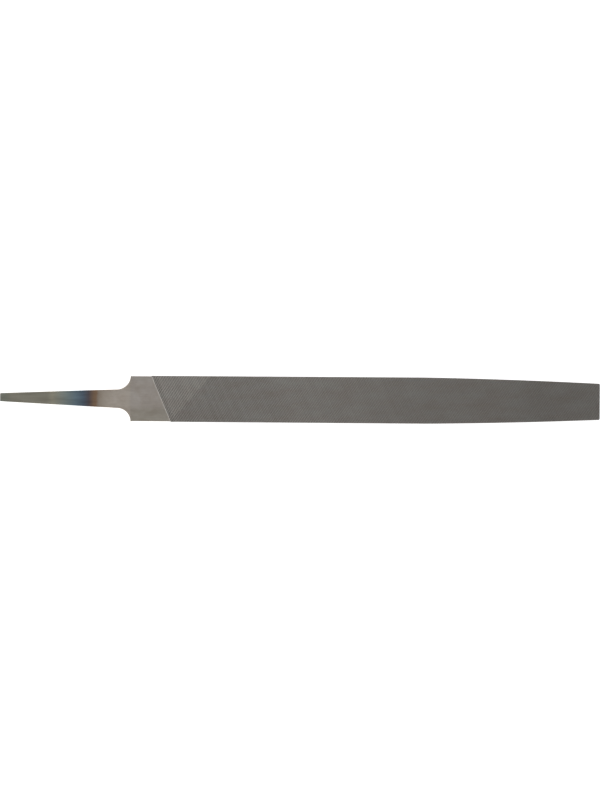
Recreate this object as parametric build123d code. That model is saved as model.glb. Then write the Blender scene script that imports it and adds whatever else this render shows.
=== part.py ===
from build123d import *

import os
from math import ceil, floor, radians, sin, tan

# A flat file for metalwork: one forged and hardened steel bar with a bare tang.
#
# The bar is a single piece of steel. It is written out here as the zones that a file maker
# names, each ending where the finish or the section of the bar changes, and every zone meets
# its neighbours face to face. X runs along the bar from the tang to the point, Y across its
# width and Z up. The origin is under the middle of the bar, on the plane that it lies on.

# Driving dimensions, in millimetres and degrees.
BLADE_LENGTH = 250.0  # nominal length, from the shoulders to the point
BAR_WIDTH = 24.0  # ground bar, bare at the heel
BAR_THICKNESS = 5.5
FACE_BURR = 0.15  # height of the face teeth above the ground bar
EDGE_BURR = 0.25  # height of the edge teeth above the ground bar
BELLY = 0.1  # extra half width where the parallel part ends

TAPER_LENGTH = 93.0  # tapered part that ends at the point
POINT_WIDTH = 19.3
POINT_THICKNESS_SHARE = 0.8  # thickness at the point, as a share of the full one
SIDE_BOW = 0.375  # how far the tapered sides bow out from a straight line
POINT_CORNER = 0.4  # bevel on the two corners of the point

TANG_LENGTH = 69.6
TANG_TIP_WIDTH = 4.4
TANG_TIP_THICKNESS = 2.6
TEMPER_LINE = 52.3  # distance from the tang's tip to the end of the heat tint
TANG_ROOT_WIDTH = 10.0
NECK_LENGTH = 1.0  # straight neck that belongs to the shoulders, before their curves begin
TANG_BEVEL = 0.2  # on the long corners of the tang and shoulders, and round the tang's tip
SPUR_HEIGHT = 0.25  # burr left standing on the corner of one shoulder
SPUR_LENGTH = 0.7

UPCUT_ANGLE = 67.0  # angle of the upcut rows to the bar's length
UPCUT_ROWS_PER_CM = 11.5
UPCUT_DEPTH = 0.3
UPCUT_RAKE = 14.0  # lean of a tooth's cutting face, back from upright
FIRST_BURR_RUN = 0.5  # back slope of the first burr, up from the ground heel
HEEL_LENGTH = 16.5  # from the shoulders to the first tooth row, on the centre line

# Sizes and places that follow from them.
TOTAL_LENGTH = TANG_LENGTH + BLADE_LENGTH
TANG_TIP_X = -TOTAL_LENGTH / 2
SHOULDER_X = TANG_TIP_X + TANG_LENGTH
POINT_X = TOTAL_LENGTH / 2
TEMPER_X = TANG_TIP_X + TEMPER_LINE
TAPER_X = POINT_X - TAPER_LENGTH
FIRST_ROW_X = SHOULDER_X + HEEL_LENGTH
HEEL_END_X = FIRST_ROW_X - FIRST_BURR_RUN

HALF_BAR = BAR_WIDTH / 2
HALF_CUT = HALF_BAR + EDGE_BURR
HALF_BELLY = HALF_CUT + BELLY
HALF_POINT = POINT_WIDTH / 2
CUT_THICKNESS = BAR_THICKNESS + 2 * FACE_BURR
CENTRE_Z = CUT_THICKNESS / 2
GROUND_Z = CENTRE_Z + BAR_THICKNESS / 2
SHOULDER_HOLLOW = (BAR_WIDTH - TANG_ROOT_WIDTH) / 2  # the shoulders are as long as they are wide
TANG_ROOT_X = SHOULDER_X - SHOULDER_HOLLOW
NECK_X = TANG_ROOT_X - NECK_LENGTH

UPCUT_PITCH = 10.0 / UPCUT_ROWS_PER_CM  # along the bar
ROW_LEAN = 1 / tan(radians(UPCUT_ANGLE))  # how far a row falls back along X for each step in Y
HALF_ROW_RUN = HALF_BELLY * ROW_LEAN  # how far a row reaches along X either side of its middle
PARALLEL_ROWS = floor((TAPER_X - HALF_ROW_RUN - FIRST_ROW_X) / UPCUT_PITCH)
ALL_ROWS = ceil((POINT_X + HALF_ROW_RUN - FIRST_ROW_X) / UPCUT_PITCH) + 1
RAKE_RUN = UPCUT_DEPTH * tan(radians(UPCUT_RAKE)) / sin(radians(UPCUT_ANGLE))
POINT_SAG = CENTRE_Z * (1 - POINT_THICKNESS_SHARE)  # drop of each face at the point
MARGIN = 30.0  # how far a cutting block reaches past the bar
NEAR = 1e-3


def row_x(centre_x, y):
    """The place along the bar, at y, of a tooth row that crosses the centre line at centre_x."""
    return centre_x - y * ROW_LEAN


def face_drop(x):
    """How far the tapered face has fallen towards the middle of the bar at x."""
    share = max(0.0, x - TAPER_X) / TAPER_LENGTH
    return POINT_SAG * share**2


def turned_over(solid):
    """The same solid on the bar's other face: turned half round about the long centre line."""
    return solid.rotate(Axis((0, 0, CENTRE_Z), (1, 0, 0)), 180)


def between(solid, low_x, high_x):
    """The part of a solid that lies between two planes across the bar."""
    slice_box = Box(high_x - low_x, 2 * MARGIN, 2 * MARGIN)
    return solid & Pos((low_x + high_x) / 2, 0, CENTRE_Z) * slice_box


def tang_and_shoulders():
    """The tang and its hollow round shoulders, tapered in plan and in side view."""
    side = Line((TANG_TIP_X, TANG_TIP_WIDTH / 2), (TANG_ROOT_X, TANG_ROOT_WIDTH / 2))
    shoulder = TangentArc(side @ 1, (SHOULDER_X, HALF_BAR), tangent=side % 1)
    far_sides = [shoulder.mirror(Plane.XZ), side.mirror(Plane.XZ)]
    tip = Line((TANG_TIP_X, -TANG_TIP_WIDTH / 2), (TANG_TIP_X, TANG_TIP_WIDTH / 2))
    end = Line((SHOULDER_X, HALF_BAR), (SHOULDER_X, -HALF_BAR))
    outline = make_face([side, shoulder, end, *far_sides, tip])
    plan = extrude(outline, amount=MARGIN, both=True)

    half_tip = TANG_TIP_THICKNESS / 2
    half_bar = BAR_THICKNESS / 2
    side_view = Polyline(
        (TANG_TIP_X, CENTRE_Z - half_tip),
        (SHOULDER_X, CENTRE_Z - half_bar),
        (SHOULDER_X, CENTRE_Z + half_bar),
        (TANG_TIP_X, CENTRE_Z + half_tip),
        close=True,
    )
    wedge = extrude(make_face(Plane.XZ * side_view), amount=MARGIN, both=True)
    return plan & wedge


def ground_heel():
    """The smooth ground heel, from the shoulders to the first burr on each face."""
    outline = Polyline(
        (SHOULDER_X, HALF_BAR),
        (row_x(HEEL_END_X, HALF_BAR), HALF_BAR),
        (row_x(HEEL_END_X, -HALF_BAR), -HALF_BAR),
        (SHOULDER_X, -HALF_BAR),
        close=True,
    )
    upper_half = Pos(0, 0, CENTRE_Z) * extrude(make_face(outline), BAR_THICKNESS / 2)
    return upper_half + turned_over(upper_half)


def is_forged_corner(edge):
    """Whether an edge is a corner that runs along the tang or round a shoulder."""
    runs_across = abs(edge.tangent_at(0.5).X) < NEAR
    before_shoulder = edge.center().X < SHOULDER_X - NEAR
    return before_shoulder and not runs_across


def smooth_bar():
    """Everything behind the teeth as one solid: tang, shoulders and heel, corners bevelled."""
    bar = tang_and_shoulders() + ground_heel()
    bar = chamfer([edge for edge in bar.edges() if is_forged_corner(edge)], TANG_BEVEL)
    tip_face = bar.faces().sort_by(Axis.X)[0]
    return chamfer(tip_face.edges(), TANG_BEVEL)


def shoulder_spur():
    """The small burr that stands out where one shoulder meets the side of the heel."""
    outline = Polyline(
        (SHOULDER_X, -HALF_BAR),
        (SHOULDER_X + SPUR_LENGTH, -HALF_BAR),
        (SHOULDER_X, -HALF_BAR - SPUR_HEIGHT),
        close=True,
    )
    height = BAR_THICKNESS - 2 * TANG_BEVEL
    return Pos(0, 0, CENTRE_Z) * extrude(make_face(outline), height / 2, both=True)


def blade_outline():
    """The toothed blade in plan, over its edge teeth: near parallel, then bowed to the point."""
    start_x = row_x(HEEL_END_X, MARGIN)
    middle_x = (TAPER_X + POINT_X) / 2
    middle_half = (HALF_BELLY + HALF_POINT) / 2 + SIDE_BOW
    parallel = Line((start_x, HALF_CUT), (TAPER_X, HALF_BELLY))
    taper = ThreePointArc(
        (TAPER_X, HALF_BELLY), (middle_x, middle_half), (POINT_X, HALF_POINT)
    )
    point = Line((POINT_X, HALF_POINT), (POINT_X, -HALF_POINT))
    start = Line((start_x, -HALF_CUT), (start_x, HALF_CUT))
    far_sides = [taper.mirror(Plane.XZ), parallel.mirror(Plane.XZ)]
    face = make_face([parallel, taper, point, *far_sides, start])
    corners = face.vertices().group_by(Axis.X)[-1]
    return chamfer(corners, POINT_CORNER)


def tooth_row(row):
    """Crest and gullet of one upcut row on the upper face, as (x, z) on the centre line."""
    crest_x = FIRST_ROW_X + row * UPCUT_PITCH
    crest_z = CUT_THICKNESS - face_drop(crest_x)
    return (crest_x, crest_z), (crest_x + RAKE_RUN, crest_z - UPCUT_DEPTH)


def toothed_zone(start_x, start_z, rows):
    """A stretch of the blade with upcut rows on both faces, as the chisel leaves them.

    It starts on a slant that follows the rows, at start_z on the upper face, and ends in the
    gullet of its last row.
    """
    teeth = [place for row in rows for place in tooth_row(row)]
    end_x = teeth[-1][0]
    side_view = Polyline(
        (start_x, CENTRE_Z), (start_x, start_z), *teeth, (end_x, CENTRE_Z), close=True
    )
    along_row = Vector(-ROW_LEAN, 1, 0)
    half_row = MARGIN / sin(radians(UPCUT_ANGLE))
    slab = extrude(make_face(Plane.XZ * side_view), half_row, dir=along_row, both=True)
    plan = Pos(0, 0, CENTRE_Z) * extrude(blade_outline(), MARGIN)
    upper_half = slab & plan
    return upper_half + turned_over(upper_half)


def main():
    """Write each zone of the bar to its own file."""
    os.makedirs("parts", exist_ok=True)
    bar = smooth_bar()
    last_gullet = tooth_row(PARALLEL_ROWS - 1)[1]
    zones = {
        "tang_end": between(bar, TANG_TIP_X - MARGIN, TEMPER_X),
        "tang_root": between(bar, TEMPER_X, NECK_X),
        "shoulder": between(bar, NECK_X, SHOULDER_X),
        "heel": between(bar, SHOULDER_X, SHOULDER_X + MARGIN) + shoulder_spur(),
        "blade": toothed_zone(HEEL_END_X, GROUND_Z, range(PARALLEL_ROWS)),
        "point": toothed_zone(*last_gullet, range(PARALLEL_ROWS, ALL_ROWS)),
    }
    for name, zone in zones.items():
        export_step(zone, f"parts/{name}.step")


main()
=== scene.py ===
"""A flat file for metalwork: its tinted tang, ground heel and chiselled blade, on a plain stage.

Everything is in metres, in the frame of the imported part: X runs from the tang to the point, Y
across the width and Z up. The origin is under the middle of the bar. Left is +Y, right is -Y.
"""

from math import cos, pi, radians, sin, tan

import bmesh
import bpy
from bpy.props import FloatProperty, FloatVectorProperty, IntProperty, PointerProperty
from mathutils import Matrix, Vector


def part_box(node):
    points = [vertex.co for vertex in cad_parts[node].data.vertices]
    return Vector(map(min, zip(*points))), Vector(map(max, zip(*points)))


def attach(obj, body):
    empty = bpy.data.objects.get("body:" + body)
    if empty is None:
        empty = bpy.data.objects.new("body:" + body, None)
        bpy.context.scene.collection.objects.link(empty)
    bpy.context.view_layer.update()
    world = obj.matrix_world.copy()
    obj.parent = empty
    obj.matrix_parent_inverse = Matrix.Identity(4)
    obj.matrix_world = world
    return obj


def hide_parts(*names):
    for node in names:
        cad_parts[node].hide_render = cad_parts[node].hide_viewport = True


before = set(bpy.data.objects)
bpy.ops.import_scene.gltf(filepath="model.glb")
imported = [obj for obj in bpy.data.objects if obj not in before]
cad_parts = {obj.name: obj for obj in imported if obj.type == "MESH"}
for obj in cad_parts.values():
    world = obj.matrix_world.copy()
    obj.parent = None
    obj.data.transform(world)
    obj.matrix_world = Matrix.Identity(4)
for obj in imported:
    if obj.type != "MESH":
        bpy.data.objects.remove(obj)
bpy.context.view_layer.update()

bl_info = {
    "name": "Flat File",
    "version": (1, 0, 0),
    "blender": (4, 5, 0),
    "location": "View3D > Sidebar > Flat File",
    "description": "Dresses a flat file in tinted, ground and chisel-cut steel",
    "category": "Object",
}

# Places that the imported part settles.
TIP_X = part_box("tang_end")[0].x
TEMPER_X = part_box("tang_end")[1].x
SHOULDER_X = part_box("shoulder")[1].x
HEEL_REACH_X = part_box("heel")[1].x
BLADE_REACH_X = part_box("blade")[1].x
POINT_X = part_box("point")[1].x
SPUR_Y, HALF_BAR = -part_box("heel")[0].y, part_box("heel")[1].y
HALF_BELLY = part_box("blade")[1].y
GROUND_LOW, GROUND_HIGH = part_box("heel")[0].z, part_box("heel")[1].z
CUT_LOW, CUT_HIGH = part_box("blade")[0].z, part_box("blade")[1].z
CENTRE_Z = (CUT_LOW + CUT_HIGH) / 2
HALF_THICKNESS = CUT_HIGH - CENTRE_Z
EDGE_BURR = SPUR_Y - HALF_BAR  # the edge teeth stand as proud of the bar as the shoulder's spur

TINT_OVERRUN = 0.0006  # how far the palest straw runs on past the tinted end of the tang
TINT_STRAY = 0.0014  # how far the bands of tint may stray along the tang
CRISP_ANGLE = radians(32)  # edges that turn by more than this shade as corners
PAST_END = 1.0  # a distance that reaches past either end of the file from anywhere on it

# How fine the detail in the finishes is, in grains to the metre along X, Y and Z.
STREAKS = (70.0, 5200.0, 5200.0)  # grinding lines along the bar
PATCHES = (160.0, 260.0, 260.0)  # handling stains a few millimetres across
GRIT = (9000.0, 9000.0, 9000.0)
TINT_STAINS = (60.0, 500.0, 500.0)
TINT_WOBBLE = (90.0, 420.0, 420.0)
CUT_STAINS = (55.0, 180.0, 180.0)

TABLE_HALF = 4.0
TABLE_GAP = 2e-5  # between the table and the lowest teeth
SKY_LOW, SKY_HIGH = 0.1, 0.65  # heights, out of one, between which the light from around fades
KEY_SIZE = (0.7, 0.5)
KEY_PLACE = (-0.55, 0.2, 0.64)
KEY_AIM = (-0.05, 0.0, 0.0)
PICTURE_WIDTH, PICTURE_HEIGHT = 600, 800
FAR_CLIP = 10.0


# ---------------------------------------------------------------- settings


def length(name, description, millimetres):
    """A length setting, shown in the scene's units and given here in millimetres."""
    return FloatProperty(
        name=name, description=description, default=millimetres / 1000, unit="LENGTH", precision=5
    )


def angle(name, description, degrees):
    """An angle setting, given here in degrees."""
    return FloatProperty(
        name=name, description=description, default=radians(degrees), subtype="ANGLE"
    )


def share(name, description, value):
    """A setting from nought to one."""
    return FloatProperty(
        name=name, description=description, default=value, min=0, max=1, subtype="FACTOR"
    )


def colour(name, description, value):
    """A linear colour setting."""
    return FloatVectorProperty(
        name=name, description=description, default=value, size=3, min=0, max=1, subtype="COLOR"
    )


class SmoothBarSettings(bpy.types.PropertyGroup):
    """Sizes of the tang, the shoulders and the ground heel."""

    tip_width: length("Tip width", "Width of the tang at its tip", 4.4)
    tip_thickness: length("Tip thickness", "Thickness of the tang at its tip", 2.6)
    root_width: length("Root width", "Width of the tang where the shoulders start to open", 10.0)
    tang_round: length("Tang rounding", "Radius of the tang's long corners", 0.2)
    heel_round: length("Heel rounding", "Radius of the heel's long corners", 0.06)
    tip_lean: length("Tip lean", "How far the forged tang's tip stands to one side", 0.3)
    root_lean: length("Root lean", "How far the tang's root stands to the other side", 0.1)
    small_spur: length("Small spur", "Height of the spur on the left shoulder's corner", 0.04)
    spur_length: length("Spur length", "Length of both shoulder spurs along the bar", 0.7)


class TeethSettings(bpy.types.PropertyGroup):
    """Sizes of the chisel-cut teeth and of the blade that carries them."""

    upcut_angle: angle("Upcut angle", "Angle of the upcut rows to the bar's length", 67.0)
    upcut_pitch: length("Upcut pitch", "Upcut rows' spacing along the bar", 10 / 11.5)
    upcut_depth: length("Upcut depth", "Depth of the upcut", 0.3)
    rake: angle("Rake", "Lean of a tooth's cutting face, back from upright", 14.0)
    overcut_angle: angle("Overcut angle", "Angle of the overcut rows to the bar's length", 48.9)
    overcut_pitch: length("Overcut pitch", "Overcut rows' spacing along the bar", 1.22)
    overcut_depth: length("Overcut depth", "Depth of the overcut", 0.18)
    edge_pitch: length("Edge pitch", "Spacing of the single-cut edge teeth", 0.9)
    edge_depth: length("Edge depth", "Depth of the single-cut edge teeth", 0.14)
    edge_slant: angle("Edge slant", "Lean of the edge teeth from upright", 24.0)
    land: length("Land", "Width left uncut on a tooth's crest", 0.04)
    gullet: length("Gullet", "Width of the flat at the bottom of a cut", 0.02)
    wander: length("Wander", "How far a single cut may stray from its even place", 0.014)
    first_burr: length("First burr", "Run of the first burr, up from the ground heel", 0.5)
    taper_length: length("Taper length", "Length of the taper that ends at the point", 93.0)
    point_width: length("Point width", "Width of the point", 19.3)
    point_thickness: share("Point thickness", "Point's thickness as a share of the full one", 0.8)
    side_bow: length("Side bow", "How far the tapered sides bow out", 0.375)
    point_corner: length("Point corner", "Bevel on the two corners of the point", 0.4)
    seed: IntProperty(name="Seed", description="Seed of the cuts' small strays", default=7)


class FinishSettings(bpy.types.PropertyGroup):
    """Colours of the steel's finishes."""

    ground: colour("Ground steel", "Lengthwise ground steel of the heel", (0.68, 0.63, 0.583))
    bright: colour("Bright tang", "Cleaned steel at the root of the tang", (0.73, 0.655, 0.57))
    cut: colour("Cut steel", "Steel of the chiselled teeth", (0.97, 0.91, 0.855))
    # painted shade: steel that is cut twice is darkened to stand in for the shade in its crossed
    # cuts
    double_cut_shade: share("Double cut", "Brightness of the steel that is cut twice", 0.79)
    tooth_tops: share("Tooth tops", "Brightness of the tops of the teeth", 1.0)
    # partly painted shade: steel down in the cuts is darker from scale left there and from
    # painted shade
    gullet_scale_and_shade: share("Gullets", "Brightness of the steel down in the cuts", 0.31)
    # painted light: the painted shade in the cuts fades towards the point, as if the light there
    # were softer
    softer_light_to_point: share("Dulling", "How far the teeth even out in tone towards the point", 0.36)
    # painted shade: the toothed sides of the blade are darkened as if in shade
    edges: share("Edges", "Brightness of the toothed edges", 0.42)
    straw: colour("Straw tint", "First heat tint, next to the bright steel", (0.326, 0.22, 0.148))
    purple: colour("Purple tint", "Second heat tint", (0.163, 0.142, 0.156))
    blue: colour("Blue tint", "Third heat tint", (0.146, 0.197, 0.26))
    light_blue: colour("Light blue tint", "Fourth heat tint", (0.212, 0.292, 0.349))
    pale_blue: colour("Pale blue tint", "Fifth heat tint", (0.31, 0.37, 0.364))
    second_straw: colour("Second straw", "Last heat tint before the grey", (0.476, 0.455, 0.365))
    grey: colour("Grey tint", "Dull oxide on the hottest half of the tang", (0.362, 0.347, 0.286))
    tip: colour("Tip tint", "Oxide at the very tip of the tang", (0.312, 0.322, 0.274))


class StageSettings(bpy.types.PropertyGroup):
    """The stage, its light and the camera."""

    view_width: length("View width", "Width that the camera sees at the bar", 319.45)
    camera_height: length("Camera height", "Height of the camera above the bar", 1600.0)
    camera_roll: angle("Camera roll", "Turn of the camera about its own line of sight", 0.40)
    camera_along: length("Camera along", "Place of the camera along the bar", 0.1)
    camera_side: length("Camera side", "Place of the camera across the bar", -0.13)
    floor_colour: colour("Table colour", "Colour of the light table", (0.9, 0.9, 0.9))
    floor_glow: FloatProperty(
        name="Table glow", description="Light that the table gives off", default=0.85, min=0
    )
    zenith: FloatProperty(name="Zenith", description="Light from overhead", default=0.32, min=0)
    horizon: FloatProperty(name="Horizon", description="Light from all sides", default=1.2, min=0)
    key_power: FloatProperty(
        name="Key light",
        description="Power of the soft light over the tang",
        default=1.25,
        unit="POWER",
    )


# ---------------------------------------------------------------- nodes


def socket_of(sockets, key):
    """The socket with that identifier, or else with that name."""
    for socket in sockets:
        if socket.identifier == key:
            return socket
    return sockets[key]


def add_node(tree, kind, inputs=None, **attributes):
    """A new node, its inputs set to values or joined to other nodes' outputs."""
    node = tree.nodes.new(kind)
    for name, value in attributes.items():
        setattr(node, name, value)
    for key, value in (inputs or {}).items():
        for single in value if isinstance(value, list) else [value]:
            if isinstance(single, bpy.types.NodeSocket):
                tree.links.new(single, socket_of(node.inputs, key))
            else:
                socket_of(node.inputs, key).default_value = single
    return node


def output(tree, kind, inputs=None, **attributes):
    """The first output of a new node."""
    return add_node(tree, kind, inputs, **attributes).outputs[0]


def maths(tree, operation, *values):
    """The result of a sum on one, two or three values or sockets."""
    keys = ("Value", "Value_001", "Value_002")
    return output(tree, "ShaderNodeMath", dict(zip(keys, values)), operation=operation)


def axes_of(tree, place):
    """The X, Y and Z outputs of a place."""
    return add_node(tree, "ShaderNodeSeparateXYZ", {"Vector": place}).outputs


def vector(tree, **axes):
    """A vector from some of its X, Y and Z; the others are nought."""
    return output(tree, "ShaderNodeCombineXYZ", axes)


def sag_at(tree, x, start_x, taper_length, sag):
    """How far a face has fallen at x: nought up to the taper, then faster to the point's sag."""
    along = maths(tree, "DIVIDE", maths(tree, "SUBTRACT", x, start_x), taper_length)
    reached = maths(tree, "MAXIMUM", along, 0.0)
    return maths(tree, "MULTIPLY", maths(tree, "MULTIPLY", reached, reached), sag)


def open_tree(name, inputs):
    """A geometry node group with those named inputs, and the sockets that hand them out."""
    tree = bpy.data.node_groups.new(name, "GeometryNodeTree")
    tree.interface.new_socket("Geometry", in_out="OUTPUT", socket_type="NodeSocketGeometry")
    for label, kind in inputs.items():
        tree.interface.new_socket(label, in_out="INPUT", socket_type="NodeSocket" + kind)
    return tree, tree.nodes.new("NodeGroupInput").outputs


def close_tree(tree, geometry):
    """Joins the group's output to that geometry."""
    add_node(tree, "NodeGroupOutput", {"Geometry": geometry})


def input_keys(tree):
    """The identifier of each of the group's inputs, by name."""
    items = tree.interface.items_tree
    return {item.name: item.identifier for item in items if item.in_out == "INPUT"}


# ---------------------------------------------------------------- places along the blade


def upcut_lean(teeth):
    """How far an upcut row falls back along X for each step in Y."""
    return 1 / tan(teeth.upcut_angle)


def overcut_lean(teeth):
    """How far an overcut row moves on along X for each step in Y."""
    return 1 / tan(teeth.overcut_angle)


def slanted(teeth, centre_x, y):
    """The place along the bar, at y, of a line along the upcut rows."""
    return centre_x - y * upcut_lean(teeth)


def heel_end_x(teeth):
    """Where the ground heel ends on the centre line."""
    return HEEL_REACH_X - HALF_BAR * upcut_lean(teeth)


def first_row_x(teeth):
    """Where the first upcut row crosses the centre line."""
    return heel_end_x(teeth) + teeth.first_burr


def overcut_x(teeth):
    """Where the first overcut row, which starts at the heel's right side, meets the middle."""
    return slanted(teeth, first_row_x(teeth), -HALF_BAR) + HALF_BAR * overcut_lean(teeth)


def taper_x(teeth):
    """Where the taper starts."""
    return POINT_X - teeth.taper_length


def split_x(teeth):
    """Where the near parallel part of the blade ends, in the gullet of its last whole row."""
    rake_run = teeth.upcut_depth * tan(teeth.rake) / sin(teeth.upcut_angle)
    reach = BLADE_REACH_X - HALF_BELLY * upcut_lean(teeth)
    rows = round((reach - rake_run - first_row_x(teeth)) / teeth.upcut_pitch)
    return first_row_x(teeth) + rows * teeth.upcut_pitch + rake_run


def point_sag(teeth):
    """How far each face has fallen towards the bar's middle at the point."""
    return HALF_THICKNESS * (1 - teeth.point_thickness)


def half_width(teeth, x):
    """Half the blade's width over its edge teeth at x."""
    half_start = HALF_BAR + EDGE_BURR
    start_x = first_row_x(teeth)
    if x <= taper_x(teeth):
        along = max(0.0, x - start_x) / (taper_x(teeth) - start_x)
        return half_start + (HALF_BELLY - half_start) * along
    along = (x - taper_x(teeth)) / teeth.taper_length
    straight = HALF_BELLY + (teeth.point_width / 2 - HALF_BELLY) * along
    bow = 4 * teeth.side_bow * along * (1 - along)  # a parabola, deepest half way to the point
    return straight + bow


# ---------------------------------------------------------------- finishes


def steel(name, base, roughness):
    """An open steel material: its tree, its metal shader and its Object coordinates."""
    material = bpy.data.materials.new(name)
    material.use_nodes = True
    tree = material.node_tree
    shader = tree.nodes["Principled BSDF"]
    shader.inputs["Metallic"].default_value = 1.0
    shader.inputs["Base Color"].default_value = (*base, 1.0)
    shader.inputs["Roughness"].default_value = roughness
    place = add_node(tree, "ShaderNodeTexCoord").outputs["Object"]
    return material, tree, shader, place


def noise(tree, place, grains, detail=3.0):
    """Noise with that many grains to the metre along each axis."""
    mapped = output(tree, "ShaderNodeMapping", {"Vector": place, "Scale": grains})
    inputs = {"Vector": mapped, "Scale": 1.0, "Detail": detail, "Roughness": 0.6}
    return output(tree, "ShaderNodeTexNoise", inputs)


def ramp(tree, value, stops):
    """A colour or grey that follows value through stops of (place, colour)."""
    node = add_node(tree, "ShaderNodeValToRGB", {"Fac": value})
    elements = node.color_ramp.elements
    for place, tone in stops[1:-1]:
        elements.new(place).color = (*tone, 1.0)
    for element, (place, tone) in ((elements[0], stops[0]), (elements[-1], stops[-1])):
        element.position = place
        element.color = (*tone, 1.0)
    return node.outputs["Color"]


def ramp_between(tree, value, stops):
    """As a ramp, for a value in metres and stops of (metres, colour) in order."""
    low, high = stops[0][0], stops[-1][0]
    inputs = {"Value": value, "From Min": low, "From Max": high}
    along = output(tree, "ShaderNodeMapRange", inputs)
    return ramp(tree, along, [((at - low) / (high - low), tone) for at, tone in stops])


def graded(tree, value, stops):
    """A grey that follows a value in metres through stops of (metres, grey) in order."""
    return ramp_between(tree, value, [(at, (grey,) * 3) for at, grey in stops])


def span(tree, value, low, high):
    """Noise spread from low to high; it seldom leaves the middle half of its range."""
    inputs = {"Value": value, "From Min": 0.25, "From Max": 0.75, "To Min": low, "To Max": high}
    return output(tree, "ShaderNodeMapRange", inputs)


def shaded(base, factor):
    """A colour made lighter or darker."""
    return tuple(min(1.0, channel * factor) for channel in base)


def mottled(tree, value, base, depth, warmth=0.0):
    """A base colour that varies with noise by depth either way, and is warmer where darker."""
    dark = shaded(base, 1 - depth)
    dark = (dark[0], dark[1] * (1 - warmth / 2), dark[2] * (1 - warmth))
    return ramp(tree, value, [(0.3, dark), (0.7, shaded(base, 1 + depth))])


def evenly_mottled(tree, value, depth):
    """A near white that varies with noise by depth either way, to multiply a colour by."""
    return mottled(tree, value, (1 - depth,) * 3, depth)


def blended(tree, first, second, factor=1.0, blend_type="MIX"):
    """The first colour blended towards the second by factor."""
    inputs = {"Factor_Float": factor, "A_Color": first, "B_Color": second}
    node = add_node(tree, "ShaderNodeMix", inputs, data_type="RGBA", blend_type=blend_type)
    return socket_of(node.outputs, "Result_Color")


def multiplied(tree, first, *others):
    """Two or more colours multiplied."""
    for other in others:
        first = blended(tree, first, other, blend_type="MULTIPLY")
    return first


def finish_steel(tree, shader, tone, roughness, height, relief, strength):
    """Joins a steel's colour, its roughness and a bump of that relief in metres to its shader."""
    bump = {"Height": height, "Distance": relief, "Strength": strength}
    tree.links.new(tone, shader.inputs["Base Color"])
    tree.links.new(roughness, shader.inputs["Roughness"])
    tree.links.new(output(tree, "ShaderNodeBump", bump), shader.inputs["Normal"])


def ground_finish(name, base, axis, tints):
    """Steel ground lengthwise, with fine streaks, faint handling stains and tints on one axis."""
    material, tree, shader, place = steel(name, base, 0.36)
    streaks = noise(tree, place, STREAKS)
    stains = noise(tree, place, PATCHES, detail=2.0)
    tone = multiplied(
        tree,
        mottled(tree, stains, base, 0.09, warmth=0.07),
        evenly_mottled(tree, streaks, 0.06),
        ramp_between(tree, axes_of(tree, place)[axis], tints),
    )
    roughness = span(tree, streaks, 0.30, 0.44)
    finish_steel(tree, shader, tone, roughness, streaks, relief=4e-6, strength=0.5)
    return material


def heel_finish(name, finish):
    """The ground steel of the heel, a little duller and greener down its right side."""
    tints = [
        (-HALF_BAR, (0.86, 0.87, 0.83)),
        (-0.55 * HALF_BAR, (0.83, 0.835, 0.79)),
        (-0.30 * HALF_BAR, (1.0, 1.0, 1.0)),
        (0.60 * HALF_BAR, (0.98, 0.98, 0.98)),
        (HALF_BAR, (0.92, 0.92, 0.92)),
    ]
    return ground_finish(name, finish.ground, "Y", tints)


def cleaned_finish(name, finish):
    """The ground steel between the heat tint and the heel, palest just before the heel."""
    tints = [
        (TEMPER_X, (0.57, 0.53, 0.50)),
        (TEMPER_X + TINT_OVERRUN, (0.64, 0.61, 0.58)),
        (TEMPER_X + 0.005, (0.87, 0.87, 0.87)),
        (SHOULDER_X - 0.008, (0.93, 0.935, 0.95)),
        (SHOULDER_X - 0.002, (0.96, 0.975, 1.0)),
        (SHOULDER_X, (0.92, 0.94, 0.97)),
    ]
    return ground_finish(name, finish.bright, "X", tints)


def tempered_finish(name, finish):
    """Steel heated at the tang's end, with its oxide colours in bands across the tang."""
    material, tree, shader, place = steel(name, finish.grey, 0.4)
    start_x = TEMPER_X + TINT_OVERRUN
    wobble = noise(tree, place, TINT_WOBBLE, detail=2.0)
    stray = maths(tree, "MULTIPLY", maths(tree, "SUBTRACT", wobble, 0.5), TINT_STRAY)
    back = maths(tree, "SUBTRACT", start_x, axes_of(tree, place)["X"])
    heat = maths(tree, "DIVIDE", maths(tree, "ADD", back, stray), start_x - TIP_X)
    bands = [
        (0.0, shaded(finish.bright, 0.68)),
        (0.03, shaded(finish.straw, 1.12)),
        (0.055, shaded(finish.straw, 1.04)),
        (0.105, finish.purple),
        (0.16, finish.blue),
        (0.24, finish.light_blue),
        (0.33, finish.pale_blue),
        (0.47, finish.second_straw),
        (0.525, finish.grey),
        (0.88, finish.grey),
        (0.94, finish.tip),
        (0.99, finish.tip),
        # painted shade: the very end of the tip is darkened as if in the shade of its rounded end
        (1.0, shaded(finish.tip, 0.4)),
    ]
    stains = noise(tree, place, TINT_STAINS, detail=4.0)
    stained = mottled(tree, stains, (0.93,) * 3, 0.2, warmth=0.04)
    tone = multiplied(tree, ramp(tree, heat, bands), stained)
    roughness = span(tree, stains, 0.34, 0.48)
    streaks = noise(tree, place, STREAKS)
    finish_steel(tree, shader, tone, roughness, streaks, relief=5e-6, strength=0.5)
    return material


def on_face(tree, place):
    """X, Y and the height above the bar's middle, as if either face were the upper one."""
    axes = axes_of(tree, place)
    above = maths(tree, "SUBTRACT", axes["Z"], CENTRE_Z)
    across = maths(tree, "MULTIPLY", axes["Y"], maths(tree, "SIGN", above))
    return axes["X"], across, maths(tree, "ABSOLUTE", above)


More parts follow.
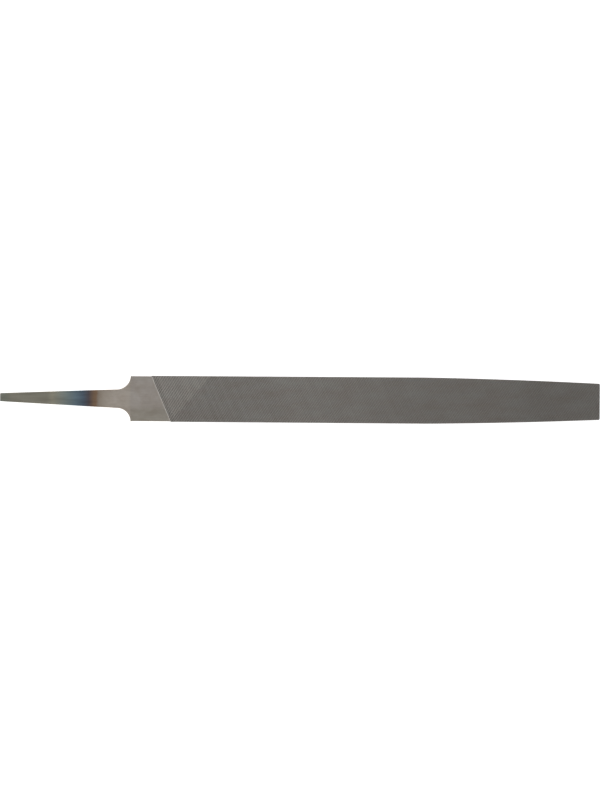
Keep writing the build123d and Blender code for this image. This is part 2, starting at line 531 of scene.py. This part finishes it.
def past_row(tree, x, across, lean, first_x):
    """How far along X a place lies past a row that falls back by lean for each step across."""
    level = maths(tree, "MULTIPLY_ADD", across, lean, x)
    return maths(tree, "SUBTRACT", level, first_x)


def cut_depth(tree, x, height, teeth):
    """How far a place lies below the tops of the teeth on its face."""
    sag = sag_at(tree, x, taper_x(teeth), teeth.taper_length, point_sag(teeth))
    return maths(tree, "SUBTRACT", maths(tree, "SUBTRACT", HALF_THICKNESS, sag), height)


def rubbed_and_shaded_tone(tree, depth, x, finish, teeth):
    """Bright crests and cuts darker with depth, from scale and painted shade; the two draw
    together from the blade's first quarter on, as the painted shade grows softer towards the
    point.
    """
    stops = [(0, finish.tooth_tops), (teeth.upcut_depth, finish.gullet_scale_and_shade)]
    # darker with depth below the tops of the teeth: partly scale, partly painted shade
    rubbed = graded(tree, depth, stops)
    even = (finish.tooth_tops + finish.gullet_scale_and_shade) / 2
    start_x = first_row_x(teeth)
    unchanged_to = start_x + 0.27 * (taper_x(teeth) - start_x)
    # painted light: from the first quarter on, the painted shade evens out towards the point, as
    # under softer light
    softer_light = graded(
        tree, x, [(start_x, 0.0), (unchanged_to, 0.0), (taper_x(teeth), finish.softer_light_to_point)]
    )
    return blended(tree, rubbed, (even, even, even, 1.0), softer_light)


def burr_highlight_and_shade(tree, x, across, teeth):
    """Painted highlight up the first burr's slope and along its crest, painted shade just
    past it, and the tone of the upcut beyond.
    """
    past_first = past_row(tree, x, across, upcut_lean(teeth), first_row_x(teeth))
    burr = teeth.first_burr
    # painted highlight rising to the burr's crest, then painted shade just past it that fades
    # into the upcut
    stops = [(-burr, 0.7), (-0.5 * burr, 0.8), (0, 0.95), (0.2 * burr, 0.59), (6 * burr, 0.66)]
    return graded(tree, past_first, stops)


def twice_cut_shade(tree, x, across, finish, teeth):
    """Painted shade from the first overcut row on, where both cuts cross."""
    past_over = past_row(tree, x, across, -overcut_lean(teeth), overcut_x(teeth))
    fade = teeth.overcut_pitch / 2
    # painted shade, fading in over an overcut pitch
    return graded(tree, past_over, [(-fade, 1.0), (fade, finish.double_cut_shade)])


def tone_along_blade(tree, x, teeth):
    """The slow change of tone along the blade, palest before its middle."""
    start_x = first_row_x(teeth)
    reach = POINT_X - start_x
    tones = [
        (0, 1.0),
        (0.18, 1.01),
        (0.32, 1.1),
        (0.44, 1.085),
        (0.54, 1.02),
        (0.77, 1.01),
        (0.86, 0.94),
        (1, 0.975),
    ]
    return graded(tree, x, [(start_x + share_along * reach, tone) for share_along, tone in tones])


def cut_finish(name, finish, teeth):
    """Steel raised by the chisel and hardened: rubbed bright on the tops of the teeth.

    The metal is darker down in the cuts, partly from scale left there and partly by painted
    shade, and darker by painted shade where both cuts cross. The edges, which are cut once, are
    even, and darkened all over by painted shade.
    """
    base = tuple(finish.cut)
    material, tree, shader, place = steel(name, base, 0.42)
    stains = noise(tree, place, CUT_STAINS)
    grit = noise(tree, place, GRIT, detail=2.0)
    x, across, height = on_face(tree, place)
    depth = cut_depth(tree, x, height, teeth)
    face = multiplied(
        tree,
        rubbed_and_shaded_tone(tree, depth, x, finish, teeth),
        burr_highlight_and_shade(tree, x, across, teeth),
        twice_cut_shade(tree, x, across, finish, teeth),
    )
    # painted shade on the toothed sides, which lie well below the tops of the teeth
    edge = (finish.edges, finish.edges, finish.edges, 1.0)
    below_cuts = [(1.5 * teeth.upcut_depth, 0.0), (3 * teeth.upcut_depth, 1.0)]
    tone = multiplied(
        tree,
        mottled(tree, stains, base, 0.06, warmth=0.04),
        evenly_mottled(tree, grit, 0.06),
        blended(tree, face, edge, graded(tree, depth, below_cuts)),
        tone_along_blade(tree, x, teeth),
    )
    roughness = span(tree, grit, 0.36, 0.50)
    finish_steel(tree, shader, tone, roughness, grit, relief=3e-6, strength=0.4)
    return material


# ---------------------------------------------------------------- shared shapes


def evenly(start, end, steps):
    """Values from start to end in that many even steps."""
    return [start + (end - start) * i / steps for i in range(steps + 1)]


def loft(stations):
    """A closed bmesh through rings of equally many points, flat at both ends."""
    bm = bmesh.new()
    rings = [[bm.verts.new(point) for point in station] for station in stations]
    for ring, after in zip(rings, rings[1:]):
        for i in range(len(ring)):
            j = (i + 1) % len(ring)
            bm.faces.new((ring[i], ring[j], after[j], after[i]))
    bm.faces.new(rings[0])
    bm.faces.new(rings[-1])
    bmesh.ops.recalc_face_normals(bm, faces=bm.faces)
    return bm


def lengthwise_slice(whole, low_x, high_x):
    """A closed copy of the part of a bmesh that lies between two planes across the bar."""
    bm = whole.copy()
    for plane_x, outward in ((low_x, -1), (high_x, 1)):
        bmesh.ops.bisect_plane(
            bm,
            geom=[*bm.verts, *bm.edges, *bm.faces],
            dist=1e-8,
            plane_co=(plane_x, 0, 0),
            plane_no=(outward, 0, 0),
            clear_outer=True,
        )
        bmesh.ops.holes_fill(bm, edges=[edge for edge in bm.edges if edge.is_boundary], sides=0)
    bmesh.ops.recalc_face_normals(bm, faces=bm.faces)
    return bm


def new_object(name, data):
    """An object for a mesh or another kind of data, in the scene."""
    piece = bpy.data.objects.new(name, data)
    bpy.context.scene.collection.objects.link(piece)
    return piece


def object_from(name, bm):
    """An object made from a bmesh, which is freed."""
    mesh = bpy.data.meshes.new(name)
    bm.to_mesh(mesh)
    bm.free()
    return new_object(name, mesh)


def remove(*objects):
    """Deletes objects that only helped to make others."""
    for helper in objects:
        bpy.data.objects.remove(helper)


def made_plain(name, source):
    """A plain mesh object with what another object's modifiers make; the other is deleted."""
    graph = bpy.context.evaluated_depsgraph_get()
    piece = new_object(name, bpy.data.meshes.new_from_object(source.evaluated_get(graph)))
    remove(source)
    return piece


def smooth_steel_piece(name, bm, material):
    """A smooth piece: its flats shade flat, its curves smoothly, and its ends are crisp."""
    for face in bm.faces:
        face.smooth = True
    for edge in bm.edges:
        edge.smooth = edge.calc_face_angle(pi) < CRISP_ANGLE
    source = object_from("blank", bm)
    shading = source.modifiers.new("Flats stay flat", "WEIGHTED_NORMAL")
    shading.keep_sharp = True
    shading.weight = 100
    piece = made_plain(name, source)
    piece.data.materials.append(material)
    return piece


def hand_over(piece, slot, *nodes):
    """Lets a piece stand for its CAD nodes and ride with the bar."""
    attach(piece, "root")
    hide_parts(*nodes)


# ---------------------------------------------------------------- tang, shoulders and heel

# A side of the bar is a point in plan and the normal there that points into the bar.


def mirrored(side):
    """The same place on the bar's other side."""
    point, inward = side
    return Vector((point.x, -point.y)), Vector((inward.x, -inward.y))


def root_x(bar):
    """Where the tang's side starts to open into a shoulder, which is as long as it is wide."""
    return SHOULDER_X - (HALF_BAR - bar.root_width / 2)


def tang_side(bar):
    """The left side of the tang and its shoulder: a straight taper, then an arc tangent to it."""
    root = Vector((root_x(bar), bar.root_width / 2))
    tip = Vector((TIP_X, bar.tip_width / 2))
    along = (root - tip).normalized()
    outward = Vector((-along.y, along.x))
    chord = Vector((SHOULDER_X, HALF_BAR)) - root
    radius = chord.length_squared / (2 * chord.dot(outward))
    centre = root + outward * radius

    straight_steps, arc_steps = 14, 24
    shares = evenly(0.0, 1.0, straight_steps)[:-1]
    side = [(tip.lerp(root, along_share), -outward) for along_share in shares]
    for turn in evenly(0.0, 2 * along.angle(chord), arc_steps):
        spoke = -outward * cos(turn) + along * sin(turn)
        side.append((centre + spoke * radius, spoke))
    return side


def half_thickness(bar, x):
    """Half the bar's thickness at x: a wedge along the tang, then even along the heel."""
    half_tip, half_bar = bar.tip_thickness / 2, (GROUND_HIGH - GROUND_LOW) / 2
    along = min(1.0, (x - TIP_X) / (SHOULDER_X - TIP_X))
    return half_tip + (half_bar - half_tip) * along


def sideways(bar, x):
    """How far the forged tang stands to the left of the bar's centre line at x."""
    if x < root_x(bar):
        along = (x - TIP_X) / (root_x(bar) - TIP_X)
        return bar.tip_lean + (-bar.root_lean - bar.tip_lean) * along
    return -bar.root_lean * max(0.0, (SHOULDER_X - x) / (SHOULDER_X - root_x(bar)))


def rounded_ring(bar, left, right, radius, slack=0.0):
    """A ring across the bar between two sides, its four corners rounded.

    Slack draws the ring in all round, as at the tip.
    """
    corner_steps = 3
    turns = evenly(0.0, pi / 2, corner_steps)
    corners = []
    for point, inward in (left, right):
        steps = [point + inward * (slack + radius * (1 - cos(turn))) for turn in turns]
        corners.append(list(zip(steps, turns)))
    left_side, right_side = corners

    def lifted(step, turn, side):
        """The place of a corner's step; side is 1 on the upper face and -1 on the lower."""
        height = half_thickness(bar, step.x) - slack - radius * (1 - sin(turn))
        return (step.x, step.y + sideways(bar, step.x), CENTRE_Z + side * height)

    upper_left = [lifted(step, turn, 1) for step, turn in left_side]
    upper_right = [lifted(step, turn, 1) for step, turn in reversed(right_side)]
    lower_right = [lifted(step, turn, -1) for step, turn in right_side]
    lower_left = [lifted(step, turn, -1) for step, turn in reversed(left_side)]
    return upper_left + upper_right + lower_right + lower_left


def tang_rings(bar):
    """The rings from the tang's tip to just before the corners of its shoulders."""
    rounding = bar.tang_round
    side = tang_side(bar)
    tip_point = side[0][0]
    straight_in = Vector((0, -1))
    tip = tip_point, straight_in
    behind_tip = Vector((TIP_X + rounding, tip_point.y)), straight_in
    return [
        rounded_ring(bar, tip, mirrored(tip), rounding / 2, slack=rounding),
        rounded_ring(bar, behind_tip, mirrored(behind_tip), rounding),
        *(rounded_ring(bar, place, mirrored(place), rounding) for place in side[1:-1]),
    ]


def shoulder_corner_ring(bar):
    """The ring where the shoulders meet the heel, out over the spur on each side.

    Its corners are rounded along the bar, so that they stay clear of the arcs before them.
    """
    across = bar.heel_round / bar.tang_round
    left = Vector((SHOULDER_X, HALF_BAR + bar.small_spur)), Vector((1, -across))
    right = Vector((SHOULDER_X, -SPUR_Y)), Vector((1, across))
    return rounded_ring(bar, left, right, bar.tang_round)


def heel_rings(bar, teeth):
    """The rings of the heel, from the end of the spurs to the slant of the first burr."""
    start = SHOULDER_X + bar.spur_length
    left_end, right_end = (slanted(teeth, heel_end_x(teeth), y) for y in (HALF_BAR, -HALF_BAR))
    steps = 5
    rings = []
    for left_x, right_x in zip(evenly(start, left_end, steps), evenly(start, right_end, steps)):
        left = Vector((left_x, HALF_BAR)), Vector((0, -1))
        right = Vector((right_x, -HALF_BAR)), Vector((0, 1))
        rings.append(rounded_ring(bar, left, right, bar.heel_round))
    return rings


def smooth_bar(bar, teeth):
    """The whole smooth part of the file in one closed bmesh: tang, shoulders and heel."""
    return loft([*tang_rings(bar), shoulder_corner_ring(bar), *heel_rings(bar, teeth)])


# ---------------------------------------------------------------- blade blanks


def blade_ring(left, right, low, high):
    """A plain ring across the blade between a left and a right point."""
    return [(*left, high), (*right, high), (*right, low), (*left, low)]


def side_at(teeth, x, side):
    """A point on the blade's side at x; side is 1 on the left and -1 on the right."""
    return x, side * half_width(teeth, x)


def side_start(teeth, centre_x, side):
    """Where a line along the upcut rows reaches the blade's side."""
    return side_at(teeth, slanted(teeth, centre_x, side * half_width(teeth, centre_x)), side)


def blade_blank(teeth):
    """The uncut near parallel part of the blade, from the foot of the first burr."""
    foot_left, foot_right = (
        (slanted(teeth, heel_end_x(teeth), y), y) for y in (HALF_BAR, -HALF_BAR)
    )
    stations = [blade_ring(foot_left, foot_right, GROUND_LOW, GROUND_HIGH)]
    steps = 8
    for centre_x in evenly(first_row_x(teeth), split_x(teeth), steps):
        left, right = (side_start(teeth, centre_x, side) for side in (1, -1))
        stations.append(blade_ring(left, right, CUT_LOW, CUT_HIGH))
    return loft(stations)


def point_blank(teeth):
    """The uncut tapered part of the blade, down to the bevelled corners of the point."""
    start_left, start_right = (side_start(teeth, split_x(teeth), side)[0] for side in (1, -1))
    last_x = POINT_X - teeth.point_corner
    steps = 30
    stations = []
    for left_x, right_x in zip(
        evenly(start_left, last_x, steps), evenly(start_right, last_x, steps)
    ):
        left, right = side_at(teeth, left_x, 1), side_at(teeth, right_x, -1)
        stations.append(blade_ring(left, right, CUT_LOW, CUT_HIGH))
    half_end = half_width(teeth, POINT_X) - teeth.point_corner
    stations.append(blade_ring((POINT_X, half_end), (POINT_X, -half_end), CUT_LOW, CUT_HIGH))
    return loft(stations)


# ---------------------------------------------------------------- chisels and cuts


def chisel(name, teeth, spacing, depth, half_length):
    """The metal that one stroke of the chisel moves: a closed wedge along Y.

    Its crest line is at the origin, its cutting face leans back by the rake, and its back slope
    rises in X to the next row's land. It stands clear of the crest by the depth of the cut.
    """
    rake_run = depth * tan(teeth.rake)
    land_x = spacing - teeth.land
    section = [
        (0, depth),
        (0, 0),
        (rake_run, -depth),
        (rake_run + teeth.gullet, -depth),
        (land_x, 0),
        (land_x, depth),
    ]
    rings = [[(x, y, z) for x, z in section] for y in (-half_length, half_length)]
    return object_from(name, loft(rings))


def edge_chisel(teeth):
    """The edge teeth's wedge, upright, its crest on the side that it cuts into."""
    reach = HALF_THICKNESS / cos(teeth.edge_slant) + teeth.edge_pitch
    spacing = teeth.edge_pitch * cos(teeth.edge_slant)
    wedge = chisel("edge_chisel", teeth, spacing, teeth.edge_depth, reach)
    for vertex in wedge.data.vertices:
        x, along_row, outward = vertex.co
        vertex.co = (x, outward, -along_row)
    return wedge


def edge_path(name, teeth, side):
    """The line that the edge teeth follow down one side of the blade."""
    curve = bpy.data.curves.new(name, "CURVE")
    curve.dimensions = "3D"
    start_x = side_start(teeth, first_row_x(teeth), side)[0] + teeth.edge_pitch / 2
    steps = 60
    spline = curve.splines.new("POLY")
    spline.points.add(steps)
    for point, x in zip(spline.points, evenly(start_x, POINT_X, steps)):
        point.co = (*side_at(teeth, x, side), CENTRE_Z, 1)
    return new_object(name, curve)


STROKE_INPUTS = {"Chisel": "Object", "Pitch": "Float", "Wander": "Float", "Seed": "Int"}


def strokes(tree, given, places, astray, turn):
    """A turned chisel stroke at each place, astray by up to the wander along some axes."""
    bounds = {"Min": tuple(-axis for axis in astray), "Max": astray, "Seed": given["Seed"]}
    stray = output(tree, "FunctionNodeRandomValue", bounds, data_type="FLOAT_VECTOR")
    scaled = {"Vector": stray, "Scale": given["Wander"]}
    offset = output(tree, "ShaderNodeVectorMath", scaled, operation="SCALE")
    placed = output(tree, "GeometryNodeSetPosition", {"Geometry": places, "Offset": offset})
    wedge = add_node(tree, "GeometryNodeObjectInfo", {"Object": given["Chisel"]})
    inputs = {"Points": placed, "Instance": wedge.outputs["Geometry"], "Rotation": turn}
    struck = output(tree, "GeometryNodeInstanceOnPoints", inputs)
    return output(tree, "GeometryNodeRealizeInstances", {"Geometry": struck})


def rows_tree():
    """Chisel strokes in a line along the bar on its upper face."""
    own_inputs = {"First": "Float", "Rows": "Int", "Turn": "Float", "Height": "Float"}
    tree, given = open_tree("Chisel rows", STROKE_INPUTS | own_inputs)
    start = vector(tree, X=given["First"], Z=given["Height"])
    step = vector(tree, X=given["Pitch"])
    inputs = {"Count": given["Rows"], "Start Location": start, "Offset": step}
    line = output(tree, "GeometryNodeMeshLine", inputs)
    close_tree(tree, strokes(tree, given, line, (1, 0, 1), vector(tree, Z=given["Turn"])))
    return tree


def edge_tree():
    """Chisel strokes along a path down one edge of the blade."""
    own_inputs = {"Path": "Object", "Flip": "Float", "Slant": "Float"}
    tree, given = open_tree("Edge rows", STROKE_INPUTS | own_inputs)
    path = add_node(tree, "GeometryNodeObjectInfo", {"Object": given["Path"]})
    inputs = {"Curve": path.outputs["Geometry"], "Length": given["Pitch"]}
    spread = output(tree, "GeometryNodeCurveToPoints", inputs, mode="LENGTH")
    turn = vector(tree, X=given["Flip"], Y=given["Slant"])
    close_tree(tree, strokes(tree, given, spread, (1, 1, 0), turn))
    return tree


def both_faces(tree, upper, middle):
    """Cuts on the upper face joined to the same cuts turned over on to the lower face."""
    lift = vector(tree, Z=maths(tree, "MULTIPLY", middle, 2.0))
    inputs = {"Geometry": upper, "Translation": lift, "Rotation": (pi, 0, 0)}
    lower = output(tree, "GeometryNodeTransform", inputs)
    return output(tree, "GeometryNodeJoinGeometry", {"Geometry": [lower, upper]})


def sunk_to_point(tree, geometry, given):
    """The cut blade with both its faces eased towards the middle along the taper."""
    axes = axes_of(tree, output(tree, "GeometryNodeInputPosition"))
    sag = sag_at(tree, axes["X"], given["Taper start"], given["Taper length"], given["Sag"])
    above = maths(tree, "SUBTRACT", axes["Z"], given["Middle height"])
    side = maths(tree, "DIVIDE", above, given["Solid half"])
    held = output(tree, "ShaderNodeClamp", {"Value": side, "Min": -1.0, "Max": 1.0})
    drop = vector(tree, Z=maths(tree, "MULTIPLY", maths(tree, "MULTIPLY", sag, held), -1.0))
    return output(tree, "GeometryNodeSetPosition", {"Geometry": geometry, "Offset": drop})


CUTS = ("Overcut", "Upcut")  # in the order in which a file is cut
ROW_INPUTS = {
    "chisel": "Object", "first": "Float", "pitch": "Float", "rows": "Int", "turn": "Float"
}
BLADE_INPUTS = {
    "Blank": "Geometry",
    "Edge chisel": "Object",
    "Left path": "Object",
    "Right path": "Object",
    "Edge pitch": "Float",
    "Edge slant": "Float",
    "Face height": "Float",
    "Middle height": "Float",
    "Solid half": "Float",
    "Taper start": "Float",
    "Taper length": "Float",
    "Sag": "Float",
    "Wander": "Float",
    "Seed": "Int",
    "Steel": "Material",
}


def teeth_tree():
    """Cuts the edge teeth, the overcut and the upcut into a blank, then tapers its faces."""
    row_inputs = {f"{cut} {key}": kind for cut in CUTS for key, kind in ROW_INPUTS.items()}
    tree, given = open_tree("Chiselled teeth", BLADE_INPUTS | row_inputs)
    rows, edges = rows_tree(), edge_tree()
    common = {"Wander": given["Wander"], "Seed": given["Seed"]}
    edge_inputs = {
        "Chisel": given["Edge chisel"], "Pitch": given["Edge pitch"], "Slant": given["Edge slant"]
    }
    sides = []
    for path, flip in (("Left path", 0.0), ("Right path", pi)):
        inputs = edge_inputs | common | {"Path": given[path], "Flip": flip}
        sides.append(output(tree, "GeometryNodeGroup", inputs, node_tree=edges))
    cuts = [output(tree, "GeometryNodeJoinGeometry", {"Geometry": sides})]
    for cut in CUTS:
        inputs = {key.capitalize(): given[f"{cut} {key}"] for key in ROW_INPUTS}
        inputs |= common | {"Height": given["Face height"]}
        upper = output(tree, "GeometryNodeGroup", inputs, node_tree=rows)
        cuts.append(both_faces(tree, upper, given["Middle height"]))
    shaped = given["Blank"]
    for cut in cuts:
        shaped = output(
            tree,
            "GeometryNodeMeshBoolean",
            {"Mesh 1": shaped, "Mesh 2": cut},
            operation="DIFFERENCE",
            solver="MANIFOLD",
        )
    tapered = sunk_to_point(tree, shaped, given)
    realized = output(tree, "GeometryNodeRealizeInstances", {"Geometry": tapered})
    inputs = {"Geometry": realized, "Material": given["Steel"]}
    close_tree(tree, output(tree, "GeometryNodeSetMaterial", inputs))
    return tree


def cut_teeth(name, blank, tree, inputs):
    """A blank with its teeth cut, as a plain mesh object."""
    source = object_from("blank", blank)
    modifier = source.modifiers.new("Teeth", "NODES")
    modifier.node_group = tree
    keys = input_keys(tree)
    for label, value in inputs.items():
        modifier[keys[label]] = value
    return made_plain(name, source)


def rows_of_cut(cut, wedge, first_x, pitch, cut_angle, turn):
    """The inputs that lay one cut's rows from the first to past the point's far corner."""
    rows = int((POINT_X + HALF_BELLY / tan(cut_angle) - first_x) / pitch) + 1
    values = {"chisel": wedge, "first": first_x, "pitch": pitch, "rows": rows, "turn": turn}
    return {f"{cut} {key}": value for key, value in values.items()}


# ---------------------------------------------------------------- operators


class FLATFILE_OT_smooth_bar(bpy.types.Operator):
    """Forge the tang and grind the heel"""

    bl_idname = "flat_file.smooth_bar"
    bl_label = "Forge Tang and Heel"

    def execute(self, context):
        finish = context.scene.file_finish
        whole = smooth_bar(context.scene.file_bar, context.scene.file_teeth)
        tinted = smooth_steel_piece(
            "tang_tinted",
            lengthwise_slice(whole, TIP_X - PAST_END, TEMPER_X),
            tempered_finish("heat_tinted_steel", finish),
        )
        bright = smooth_steel_piece(
            "tang_bright",
            lengthwise_slice(whole, TEMPER_X, SHOULDER_X),
            cleaned_finish("cleaned_steel", finish),
        )
        heel = smooth_steel_piece(
            "ground_heel",
            lengthwise_slice(whole, SHOULDER_X, SHOULDER_X + PAST_END),
            heel_finish("ground_steel", finish),
        )
        whole.free()
        hand_over(tinted, "tempered_steel", "tang_end")
        hand_over(bright, "bright_steel", "tang_root", "shoulder")
        hand_over(heel, "ground_steel", "heel")
        return {"FINISHED"}


class FLATFILE_OT_teeth(bpy.types.Operator):
    """Cut the teeth on both faces and both edges of the blade"""

    bl_idname = "flat_file.teeth"
    bl_label = "Cut Teeth"

    def execute(self, context):
        teeth, finish = context.scene.file_teeth, context.scene.file_finish
        up_angle, over_angle = teeth.upcut_angle, teeth.overcut_angle
        up_pitch, over_pitch = teeth.upcut_pitch, teeth.overcut_pitch
        across = HALF_BELLY + up_pitch
        upcut = chisel(
            "upcut_chisel",
            teeth,
            up_pitch * sin(up_angle),
            teeth.upcut_depth,
            across / sin(up_angle),
        )
        overcut = chisel(
            "overcut_chisel",
            teeth,
            over_pitch * sin(over_angle),
            teeth.overcut_depth,
            across / sin(over_angle) + over_pitch,
        )
        edge = edge_chisel(teeth)
        left, right = edge_path("left_path", teeth, 1), edge_path("right_path", teeth, -1)
        inputs = {
            **rows_of_cut(
                "Upcut", upcut, first_row_x(teeth), up_pitch, up_angle, pi / 2 - up_angle
            ),
            **rows_of_cut(
                "Overcut", overcut, overcut_x(teeth), over_pitch, over_angle, over_angle - pi / 2
            ),
            "Edge chisel": edge,
            "Left path": left,
            "Right path": right,
            "Edge pitch": teeth.edge_pitch,
            "Edge slant": teeth.edge_slant,
            "Face height": CUT_HIGH,
            "Middle height": CENTRE_Z,
            "Solid half": HALF_THICKNESS - 2 * teeth.upcut_depth,
            "Taper start": taper_x(teeth),
            "Taper length": teeth.taper_length,
            "Sag": point_sag(teeth),
            "Wander": teeth.wander,
            "Seed": teeth.seed,
            "Steel": cut_finish("cut_steel", finish, teeth),
        }
        tree = teeth_tree()
        blade = cut_teeth("toothed_blade", blade_blank(teeth), tree, inputs)
        point = cut_teeth("toothed_point", point_blank(teeth), tree, inputs)
        remove(upcut, overcut, edge, left, right)
        hand_over(blade, "cut_steel", "blade")
        hand_over(point, "cut_steel", "point")
        return {"FINISHED"}


class FLATFILE_OT_stage(bpy.types.Operator):
    """Set the light table, the soft lights and the camera"""

    bl_idname = "flat_file.stage"
    bl_label = "Set Stage"

    def execute(self, context):
        stage = context.scene.file_stage
        self.add_table(stage)
        self.add_surroundings(context.scene, stage)
        self.add_key_light(stage)
        self.add_camera(context.scene, stage)
        context.scene.view_settings.view_transform = "Standard"
        return {"FINISHED"}

    def add_table(self, stage):
        """A wide plain table that glows a little, so that nothing casts a hard shadow."""
        signs = ((-1, -1), (1, -1), (1, 1), (-1, 1))
        z = CUT_LOW - TABLE_GAP
        bm = bmesh.new()
        bm.faces.new([bm.verts.new((x * TABLE_HALF, y * TABLE_HALF, z)) for x, y in signs])
        table = object_from("table", bm)
        material = bpy.data.materials.new("table_white")
        material.use_nodes = True
        shader = material.node_tree.nodes["Principled BSDF"]
        shader.inputs["Base Color"].default_value = (*stage.floor_colour, 1.0)
        shader.inputs["Roughness"].default_value = 0.9
        shader.inputs["Emission Color"].default_value = (1.0, 1.0, 1.0, 1.0)
        shader.inputs["Emission Strength"].default_value = stage.floor_glow
        table.data.materials.append(material)

    def add_surroundings(self, scene, stage):
        """White light from all round, brighter towards the horizon than overhead."""
        world = bpy.data.worlds.new("surroundings")
        scene.world = world
        world.use_nodes = True
        tree = world.node_tree
        direction = add_node(tree, "ShaderNodeTexCoord").outputs["Generated"]
        inputs = {
            "Value": axes_of(tree, direction)["Z"],
            "From Min": SKY_LOW,
            "From Max": SKY_HIGH,
            "To Min": stage.horizon,
            "To Max": stage.zenith,
        }
        strength = output(tree, "ShaderNodeMapRange", inputs, interpolation_type="SMOOTHSTEP")
        tree.links.new(strength, tree.nodes["Background"].inputs["Strength"])
        tree.nodes["Background"].inputs["Color"].default_value = (1.0, 1.0, 1.0, 1.0)

    def add_key_light(self, stage):
        """One broad soft light, nearer to the tang than to the point."""
        data = bpy.data.lights.new("key_light", "AREA")
        data.energy = stage.key_power
        data.shape = "RECTANGLE"
        data.size, data.size_y = KEY_SIZE
        light = new_object("key_light", data)
        light.location = KEY_PLACE
        aim = Vector(KEY_AIM) - light.location
        light.rotation_mode = "QUATERNION"
        light.rotation_quaternion = aim.to_track_quat("-Z", "Y")

    def add_camera(self, scene, stage):
        """A long lens that looks straight down on the bar."""
        data = bpy.data.cameras.new("camera")
        long_side = stage.view_width * PICTURE_HEIGHT / PICTURE_WIDTH
        data.lens = data.sensor_width * stage.camera_height / long_side
        data.clip_end = FAR_CLIP
        camera = new_object("camera", data)
        height = CUT_HIGH + stage.camera_height
        camera.location = (stage.camera_along, stage.camera_side, height)
        camera.rotation_euler = (0, 0, stage.camera_roll)
        scene.camera = camera


class FLATFILE_PT_sidebar(bpy.types.Panel):
    """The flat file's settings and makers"""

    bl_idname = "FLATFILE_PT_sidebar"
    bl_label = "Flat File"
    bl_space_type = "VIEW_3D"
    bl_region_type = "UI"
    bl_category = "Flat File"

    def draw(self, context):
        for operator in OPERATORS:
            self.layout.operator(operator.bl_idname)
        for name in SETTINGS:
            settings = getattr(context.scene, name)
            box = self.layout.box()
            for key in settings.bl_rna.properties.keys():
                if key not in ("name", "rna_type"):
                    box.prop(settings, key)


OPERATORS = (FLATFILE_OT_smooth_bar, FLATFILE_OT_teeth, FLATFILE_OT_stage)
SETTINGS = {
    "file_bar": SmoothBarSettings,
    "file_teeth": TeethSettings,
    "file_finish": FinishSettings,
    "file_stage": StageSettings,
}
CLASSES = (*SETTINGS.values(), *OPERATORS, FLATFILE_PT_sidebar)


def register():
    """Adds the settings, the operators and the sidebar panel."""
    for cls in CLASSES:
        bpy.utils.register_class(cls)
    for name, group in SETTINGS.items():
        setattr(bpy.types.Scene, name, PointerProperty(type=group))


def unregister():
    """Takes them away again."""
    for name in SETTINGS:
        delattr(bpy.types.Scene, name)
    for cls in reversed(CLASSES):
        bpy.utils.unregister_class(cls)


def main():
    """Makes the whole file on its stage."""
    register()
    bpy.ops.flat_file.smooth_bar()
    bpy.ops.flat_file.teeth()
    bpy.ops.flat_file.stage()


if __name__ == "__main__":
    main()
